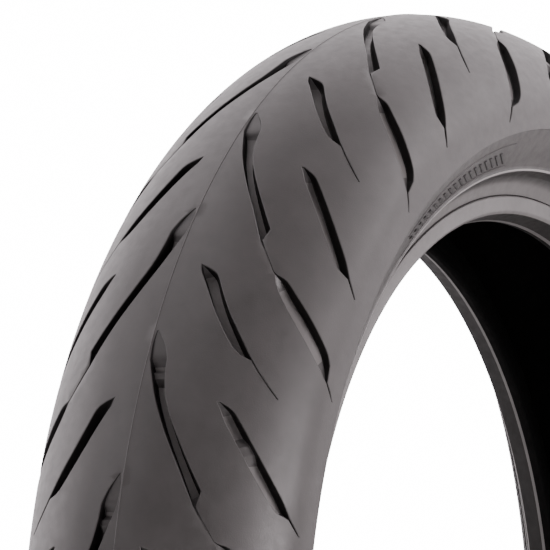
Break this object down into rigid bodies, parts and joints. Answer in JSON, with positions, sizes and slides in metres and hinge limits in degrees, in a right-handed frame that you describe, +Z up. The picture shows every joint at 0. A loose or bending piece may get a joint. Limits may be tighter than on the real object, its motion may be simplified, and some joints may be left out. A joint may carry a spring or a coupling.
{
  "type": "motorcycle tyre",
  "caption": "Road motorcycle tyre with a round crown, slanted tread grooves, textile plies, wire bead cores and flat-faced beads for a 17-inch rim.",
  "frame": {"origin": "centre of the tyre: on the axle line, midway between the beads", "axes": "+Y along the axle towards the left side, +Z up, +X forward or back in the wheel's plane"},
  "size_m": [0.628, 0.1362, 0.628],
  "materials": {
    "tread_rubber": "satin warm grey-black tread rubber",
    "base_rubber": "matt black base rubber",
    "sidewall_rubber": "satin dark grey sidewall rubber",
    "rim_strip_rubber": "smooth moulded grey rubber",
    "liner_rubber": "semi-gloss black airtight rubber",
    "filler_rubber": "hard matt black rubber",
    "belt_cord": "straw-coloured cords in rubber",
    "ply_cord": "brown dipped textile cords in rubber",
    "bead_wire": "bronze-coated drawn steel wire"
  },
  "bodies": {
    "root": {"tread_cap": "tread_rubber", "tread_base": "base_rubber", "belt_zero_degree": "belt_cord", "carcass_ply_inner": "ply_cord", "carcass_ply_outer": "ply_cord", "inner_liner": "liner_rubber", "bead_core_left": "bead_wire", "bead_core_right": "bead_wire", "bead_filler_left": "filler_rubber", "bead_filler_right": "filler_rubber", "rim_strip_left": "rim_strip_rubber", "rim_strip_right": "rim_strip_rubber", "sidewall_left": "sidewall_rubber", "sidewall_right": "sidewall_rubber"}
  },
  "joints": []
}
